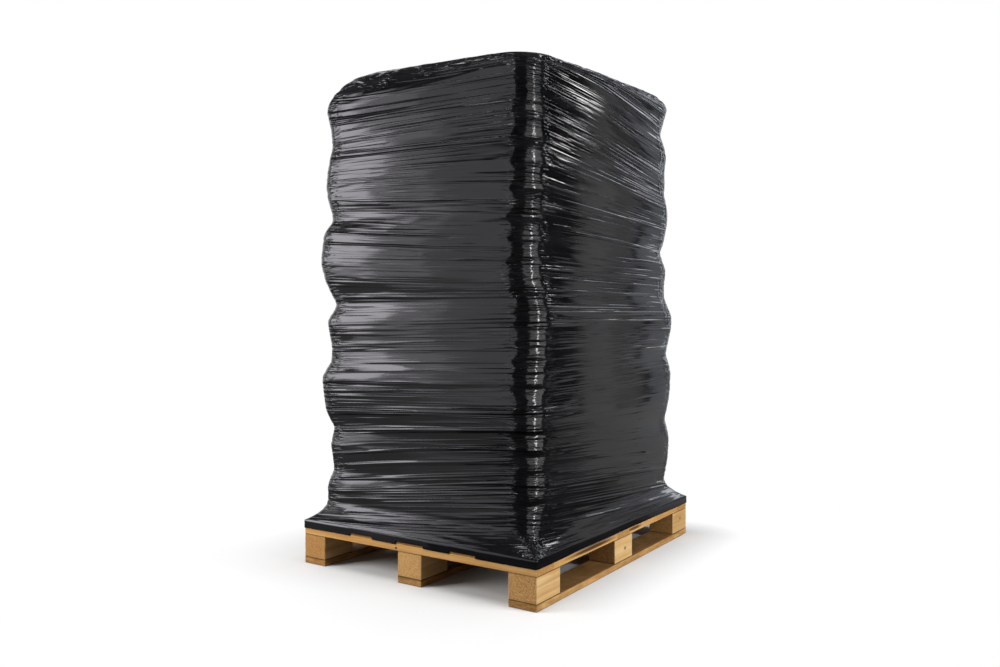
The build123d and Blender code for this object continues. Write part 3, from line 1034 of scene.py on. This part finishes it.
class PalletSettings(bpy.types.PropertyGroup):
    board_dark: FloatVectorProperty(
        name="Dark grain", description="Of the boards", default=linear("b07f45"), size=4, subtype="COLOR"
    )
    board_middle: FloatVectorProperty(
        name="Wood", description="Of the boards", default=linear("cf9f62"), size=4, subtype="COLOR"
    )
    board_light: FloatVectorProperty(
        name="Light grain", description="Of the boards", default=linear("e0b77c"), size=4, subtype="COLOR"
    )
    soil: FloatProperty(
        name="Soil", description="Dirt on the bottom boards", default=0.45, subtype="FACTOR"
    )
    nail_radius: FloatProperty(
        name="Nail radius", description="Of a nail's head", default=0.0045, unit="LENGTH"
    )
    nail_height: FloatProperty(
        name="Nail height", description="Of a nail's head", default=0.0006, unit="LENGTH"
    )
    nail_across: FloatProperty(
        name="Nails across", description="Share of a block", default=0.3, subtype="FACTOR"
    )
    nail_along: FloatProperty(
        name="Nails along", description="Share of a block", default=0.3, subtype="FACTOR"
    )


class StageSettings(bpy.types.PropertyGroup):
    azimuth: FloatProperty(
        name="Azimuth", description="From the front", default=math.radians(33.58), subtype="ANGLE"
    )
    distance: FloatProperty(
        name="Distance", description="Of the camera, along the floor", default=3.2679, unit="LENGTH"
    )
    height: FloatProperty(name="Height", description="Of the camera", default=0.8419, unit="LENGTH")
    lens: FloatProperty(
        name="Lens", description="Focal length in mm", default=29.777, subtype="DISTANCE_CAMERA"
    )
    shift: FloatProperty(
        name="Shift", description="Sideways, as a share of the picture", default=-0.0085, subtype="FACTOR"
    )
    world_level: FloatProperty(
        name="World", description="Light from all around", default=0.11, subtype="FACTOR"
    )


class PALLETLOAD_OT_film(bpy.types.Operator):
    """Wrap the load in stretch film"""

    bl_idname = "palletload.film"
    bl_label = "Wrap the Load"

    def execute(self, context):
        settings = context.scene.palletload_film
        shape = FilmShape(settings)
        wrinkled = WrinkledFilm(shape)
        rows, columns = wrinkled.points.shape[:2]
        film = mesh_object(
            "stretch_film_wrap",
            wrinkled.points.reshape(-1, 3),
            grid_faces(rows, columns, True),
            film_material("black_stretch_film", settings, CRUMPLES),
        )
        for key, values in wrinkled.marks().items():
            made = film.data.attributes.new(key, "FLOAT", "POINT")
            made.data.foreach_set("value", values.ravel().astype(np.float32))
        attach(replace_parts(film, "stretch_film"), "root")
        return {"FINISHED"}


class PALLETLOAD_OT_top_sheet(bpy.types.Operator):
    """Lay the top sheet on the load, under the film's fold"""

    bl_idname = "palletload.top_sheet"
    bl_label = "Lay the Top Sheet"

    def execute(self, context):
        settings = context.scene.palletload_film
        sheet, sizes = top_sheet_object(FilmShape(settings), film_material("black_top_sheet", settings))
        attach(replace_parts(sheet, "top_sheet"), "root")
        return {"FINISHED"}


class PALLETLOAD_OT_sacks(bpy.types.Operator):
    """Stack the layers of sacks under the film"""

    bl_idname = "palletload.sacks"
    bl_label = "Stack the Sacks"

    def execute(self, context):
        settings = context.scene.palletload_film
        for layer in sack_objects(FilmShape(settings), sack_material(settings)):
            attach(layer, "root")
        return {"FINISHED"}


class PALLETLOAD_OT_wood(bpy.types.Operator):
    """Finish the pallet's boards and blocks"""

    bl_idname = "palletload.wood"
    bl_label = "Finish the Wood"

    def execute(self, context):
        settings = context.scene.palletload_pallet
        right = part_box("stringer_front")[1].x
        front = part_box("stringer_front")[0].y
        block_low, block_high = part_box("block_front_left")
        # Dark, middle and light tones
        boards = (settings.board_dark, settings.board_middle, settings.board_light)
        ends = [linear(t) for t in ("8a6238", "b98a52", "d3a76c")]
        # The deck boards' ends: end grain, darker still with painted shade from the film's hem just above
        # them
        shaded_deck_ends = [linear(t) for t in ("6b4a28", "8f6739", "ad8049")]
        blocks = [linear(t) for t in ("c08f55", "dcb67e", "ebcb98")]
        block_ends = [linear(t) for t in ("6f4a26", "c0915a", "dcb27a")]
        # Marks: centre, half sizes, tint and strength
        # Dark bands along the right-hand side boards
        dark_bands = (
            ((right, -0.24, 0.12), (0.02, 0.21, 0.009), "4a2f17", 0.95),
            ((right, 0.09, 0.121), (0.02, 0.08, 0.008), "4a2f17", 0.9),
        )
        # A small hole in the front stringer, drawn as a near-black spot: painted shade inside it
        hole = (((-0.059, front, 0.1156), (0.0055, 0.01, 0.0055), "24150a", 1.0),)
        # Three block faces made darker or lighter all over, and two small knots
        tints_and_knots = (
            ((-0.45, front, 0.065), (0.09, 0.02, 0.08), "9a6a38", 0.4),
            ((0.0, front, 0.065), (0.09, 0.02, 0.08), "d9ad74", 0.3),
            ((right, 0.53, 0.065), (0.02, 0.12, 0.08), "a87a45", 0.35),
            ((right, 0.011, 0.064), (0.02, 0.012, 0.008), "7a4b24", 0.8),
            ((right, 0.535, 0.075), (0.02, 0.01, 0.007), "7a4b24", 0.8),
        )
        # Painted shade in the seams: at the blocks' bottom and top, and at the bottom boards' underside and
        # top
        block_seam_shade = {"seams": (block_low.z, block_high.z), "offset": (1, 4, 8)}
        soil_and_seam_shade = {"soil": settings.soil, "seams": (0.0, block_low.z), "offset": (7, 1, 3)}
        # Pieces, the name and the grain of their wood, its tones, its marks and what else it has
        woods = (
            ("stringer_", "stringers", "X", boards, ends, hole, {}),
            ("side_board_", "side_boards", "Y", boards, ends, dark_bands, {"offset": (2, 0, 1)}),
            ("deck_board_", "deck_boards", "Y", boards, shaded_deck_ends, (), {"offset": (5, 3, 2)}),
            ("block_", "blocks", "Y", blocks, block_ends, tints_and_knots, block_seam_shade),
            ("bottom_board_", "bottom_boards", "Y", boards, ends, (), soil_and_seam_shade),
        )
        for prefix, kind, along, tones, end_tones, marks, more in woods:
            wood = wood_material(f"sawn_pine_{kind}", along, tones, end_tones, marks, **more)
            for name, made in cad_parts.items():
                if name.startswith(prefix):
                    made.data.materials.clear()
                    made.data.materials.append(wood)
        return {"FINISHED"}


class PALLETLOAD_OT_nails(bpy.types.Operator):
    """Drive the nails under the blocks"""

    bl_idname = "palletload.nails"
    bl_label = "Drive the Nails"

    def execute(self, context):
        settings = context.scene.palletload_pallet
        mesh = bpy.data.meshes.new("nail_places")
        mesh.from_pydata(nail_places(settings), [], [])
        holder = bpy.data.objects.new("nail_places", mesh)
        context.scene.collection.objects.link(holder)
        values = {"Radius": settings.nail_radius, "Height": settings.nail_height, "Seed": 5}
        nails = apply_tree(holder, nail_tree(nail_material()), values, "nail_heads")
        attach(nails, "root")
        return {"FINISHED"}


def bearing(angle, distance, height):
    """A point around the load, at an angle in degrees from the front towards the right."""
    a = math.radians(angle)
    return Vector((math.sin(a) * distance, -math.cos(a) * distance, height))


def lamp(name, angle, distance, height, size, power, aim):
    """A soft rectangular lamp that points at a height on the load's axis and isn't seen in reflections."""
    light = bpy.data.lights.new(name, "AREA")
    light.shape = "RECTANGLE"
    light.size, light.size_y = size
    light.energy = power
    made = bpy.data.objects.new(name, light)
    made.location = bearing(angle, distance, height)
    toward = Vector((0, 0, aim)) - made.location
    made.rotation_euler = toward.to_track_quat("-Z", "Y").to_euler()
    made.visible_camera = made.visible_glossy = False
    bpy.context.scene.collection.objects.link(made)


def reflected(name, points, faces, tint, strength):
    """A card that only reflections see; strength makes its brightness from its tree and its place."""
    material, tree, coords = new_material(name)
    level = strength(tree, coords.outputs["Object"])
    glow = add(tree, "ShaderNodeEmission", {"Color": linear(tint), "Strength": level})
    add(tree, "ShaderNodeOutputMaterial", {"Surface": glow})
    material.cycles.emission_sampling = "NONE"
    made = mesh_object(name, points, faces, material)
    made.visible_camera = made.visible_diffuse = made.visible_transmission = False
    made.visible_shadow = made.visible_volume_scatter = False


def card(name, first, last, radius, low, high, level, tint):
    """A curved card around the load, from one angle to another, that fades past its low and high edge."""
    angles = np.linspace(first, last, CARD_STEPS)
    fade = radius * FADE_SHARE if low < HANGING_HEIGHT else HIGH_FADE
    edges = (max(low - fade, 0.0), min(high + fade, STUDIO_HEIGHT))
    points = [bearing(a, radius, z) for z in edges for a in angles]

    def strength(tree, place):
        z = add(tree, SEPARATE, (place,)).outputs["Z"]
        below = add(tree, MAP_RANGE, (z, low - fade, low, level * FADED_SHARE, level))
        above = add(tree, MAP_RANGE, (z, high, high + fade, level, level * FADED_SHARE))
        return add(tree, MATH, (below, above), operation="MINIMUM")

    reflected(name, points, grid_faces(2, CARD_STEPS, False), tint, strength)


def sector(name, first, last, inner, outer, height, near, far):
    """A level card between two angles and two distances, with its brightness at both distances."""
    angles = np.linspace(first, last, SECTOR_STEPS)
    points = [bearing(a, max(r, 0.001), height) for r in (inner, outer) for a in angles]

    def strength(tree, place):
        away = add(tree, VECTOR_MATH, (place,), operation="LENGTH").outputs["Value"]
        return add(tree, MAP_RANGE, (away, inner, outer, near, far))

    reflected(name, points, grid_faces(2, SECTOR_STEPS, False), "ffffff", strength)


def seen_ray(tree):
    """1 for camera, glossy and transmission rays, else 0."""
    path = add(tree, "ShaderNodeLightPath").outputs
    seen = add(tree, MATH, (path["Is Camera Ray"], path["Is Glossy Ray"]), operation="ADD")
    seen = add(tree, MATH, (seen, path["Is Transmission Ray"]), operation="ADD")
    return add(tree, MATH, (seen, 1.0), operation="MINIMUM")


class PALLETLOAD_OT_stage(bpy.types.Operator):
    """Set up the floor, the lamps, the cards, the world and the camera"""

    bl_idname = "palletload.stage"
    bl_label = "Set the Stage"

    def execute(self, context):
        scene = context.scene
        settings = scene.palletload_stage
        scene.view_settings.view_transform = "Standard"
        scene.world = bpy.data.worlds.new("studio")
        tree = empty_tree(scene.world)
        level = add(tree, MAP_RANGE, (seen_ray(tree), 0.0, 1.0, settings.world_level, 1.0))
        sky = add(tree, "ShaderNodeBackground", {"Color": (1, 1, 1, 1), "Strength": level})
        add(tree, "ShaderNodeOutputWorld", {"Surface": sky})
        self.floor()
        for values in LAMPS:
            lamp(*values)
        for values in CARDS:
            card(*values)
        for values in SECTORS:
            sector(*values)
        data = bpy.data.cameras.new("camera")
        data.lens = settings.lens
        data.sensor_width = 36.0
        data.shift_x = settings.shift
        data.clip_end = 200.0
        camera = bpy.data.objects.new("camera", data)
        a, distance = settings.azimuth, settings.distance
        camera.location = (math.sin(a) * distance, -math.cos(a) * distance, settings.height)
        camera.rotation_euler = (math.pi / 2, 0.0, a)
        scene.collection.objects.link(camera)
        scene.camera = camera
        return {"FINISHED"}

    def floor(self):
        """A white floor that keeps the load's shadow and goes over into the white background."""
        material, tree, coords = new_material("studio_floor")
        place = coords.outputs["Object"]
        seen = seen_ray(tree)
        # Distance from the pallet's outline, 0 under it and counted more than once but at the front
        past = add(tree, VECTOR_MATH, (place, (-CAD_LOW.x, -CAD_LOW.y, 0.0)), operation="SUBTRACT")
        past = add(tree, VECTOR_MATH, (past, (5.0, 5.0, 0.0)), operation="MULTIPLY")
        short = add(tree, VECTOR_MATH, ((CAD_LOW.x, CAD_LOW.y, 0.0), place), operation="SUBTRACT")
        short = add(tree, VECTOR_MATH, (short, (2.5, 1.0, 0.0)), operation="MULTIPLY")
        beyond = add(tree, VECTOR_MATH, (past, short), operation="MAXIMUM")
        beyond = add(tree, VECTOR_MATH, (beyond, (0.0, 0.0, 0.0)), operation="MAXIMUM")
        away = add(tree, VECTOR_MATH, (beyond,), operation="LENGTH").outputs["Value"]
        tones = {0: seen, 6: linear("606060"), 7: linear("d2d2d2")}
        tone = add(tree, MIX, tones, data_type="RGBA").outputs[2]
        cloth = add(tree, "ShaderNodeBsdfDiffuse", {"Color": tone})
        white = add(tree, "ShaderNodeEmission", {"Color": (1, 1, 1, 1), "Strength": 1.0})
        share = add(tree, MAP_RANGE, (away, 0.0, 1.1))
        share = add(tree, MATH, (share, seen), operation="MULTIPLY")
        both = add(tree, "ShaderNodeMixShader", (share, cloth, white))
        add(tree, "ShaderNodeOutputMaterial", {"Surface": both})
        r = FLOOR_REACH
        corners = [(-r, -r, 0), (r, -r, 0), (r, r, 0), (-r, r, 0)]
        mesh_object("floor", corners, [(0, 1, 2, 3)], material, False)


class PALLETLOAD_PT_panel(bpy.types.Panel):
    """The pallet load's settings and steps"""

    bl_idname = "PALLETLOAD_PT_panel"
    bl_label = "Pallet Load"
    bl_space_type = "VIEW_3D"
    bl_region_type = "UI"
    bl_category = "Pallet Load"

    def draw(self, context):
        for group, steps in STEPS:
            column = self.layout.column()
            settings = getattr(context.scene, group)
            for key in settings.bl_rna.properties.keys():
                if key not in ("rna_type", "name"):
                    column.prop(settings, key)
            for step in steps:
                column.operator(step.bl_idname)


GROUPS = (
    ("palletload_film", FilmSettings),
    ("palletload_pallet", PalletSettings),
    ("palletload_stage", StageSettings),
)
STEPS = (
    ("palletload_film", (PALLETLOAD_OT_film, PALLETLOAD_OT_top_sheet, PALLETLOAD_OT_sacks)),
    ("palletload_pallet", (PALLETLOAD_OT_wood, PALLETLOAD_OT_nails)),
    ("palletload_stage", (PALLETLOAD_OT_stage,)),
)
CLASSES = (*(step for group, steps in STEPS for step in steps), PALLETLOAD_PT_panel)


def register():
    for key, group in GROUPS:
        bpy.utils.register_class(group)
        setattr(bpy.types.Scene, key, PointerProperty(type=group))
    for made in CLASSES:
        bpy.utils.register_class(made)


def unregister():
    for made in reversed(CLASSES):
        bpy.utils.unregister_class(made)
    for key, group in reversed(GROUPS):
        delattr(bpy.types.Scene, key)
        bpy.utils.unregister_class(group)


def main():
    register()
    bpy.ops.palletload.film()
    bpy.ops.palletload.top_sheet()
    bpy.ops.palletload.sacks()
    bpy.ops.palletload.wood()
    bpy.ops.palletload.nails()
    bpy.ops.palletload.stage()


if __name__ == "__main__":
    main()
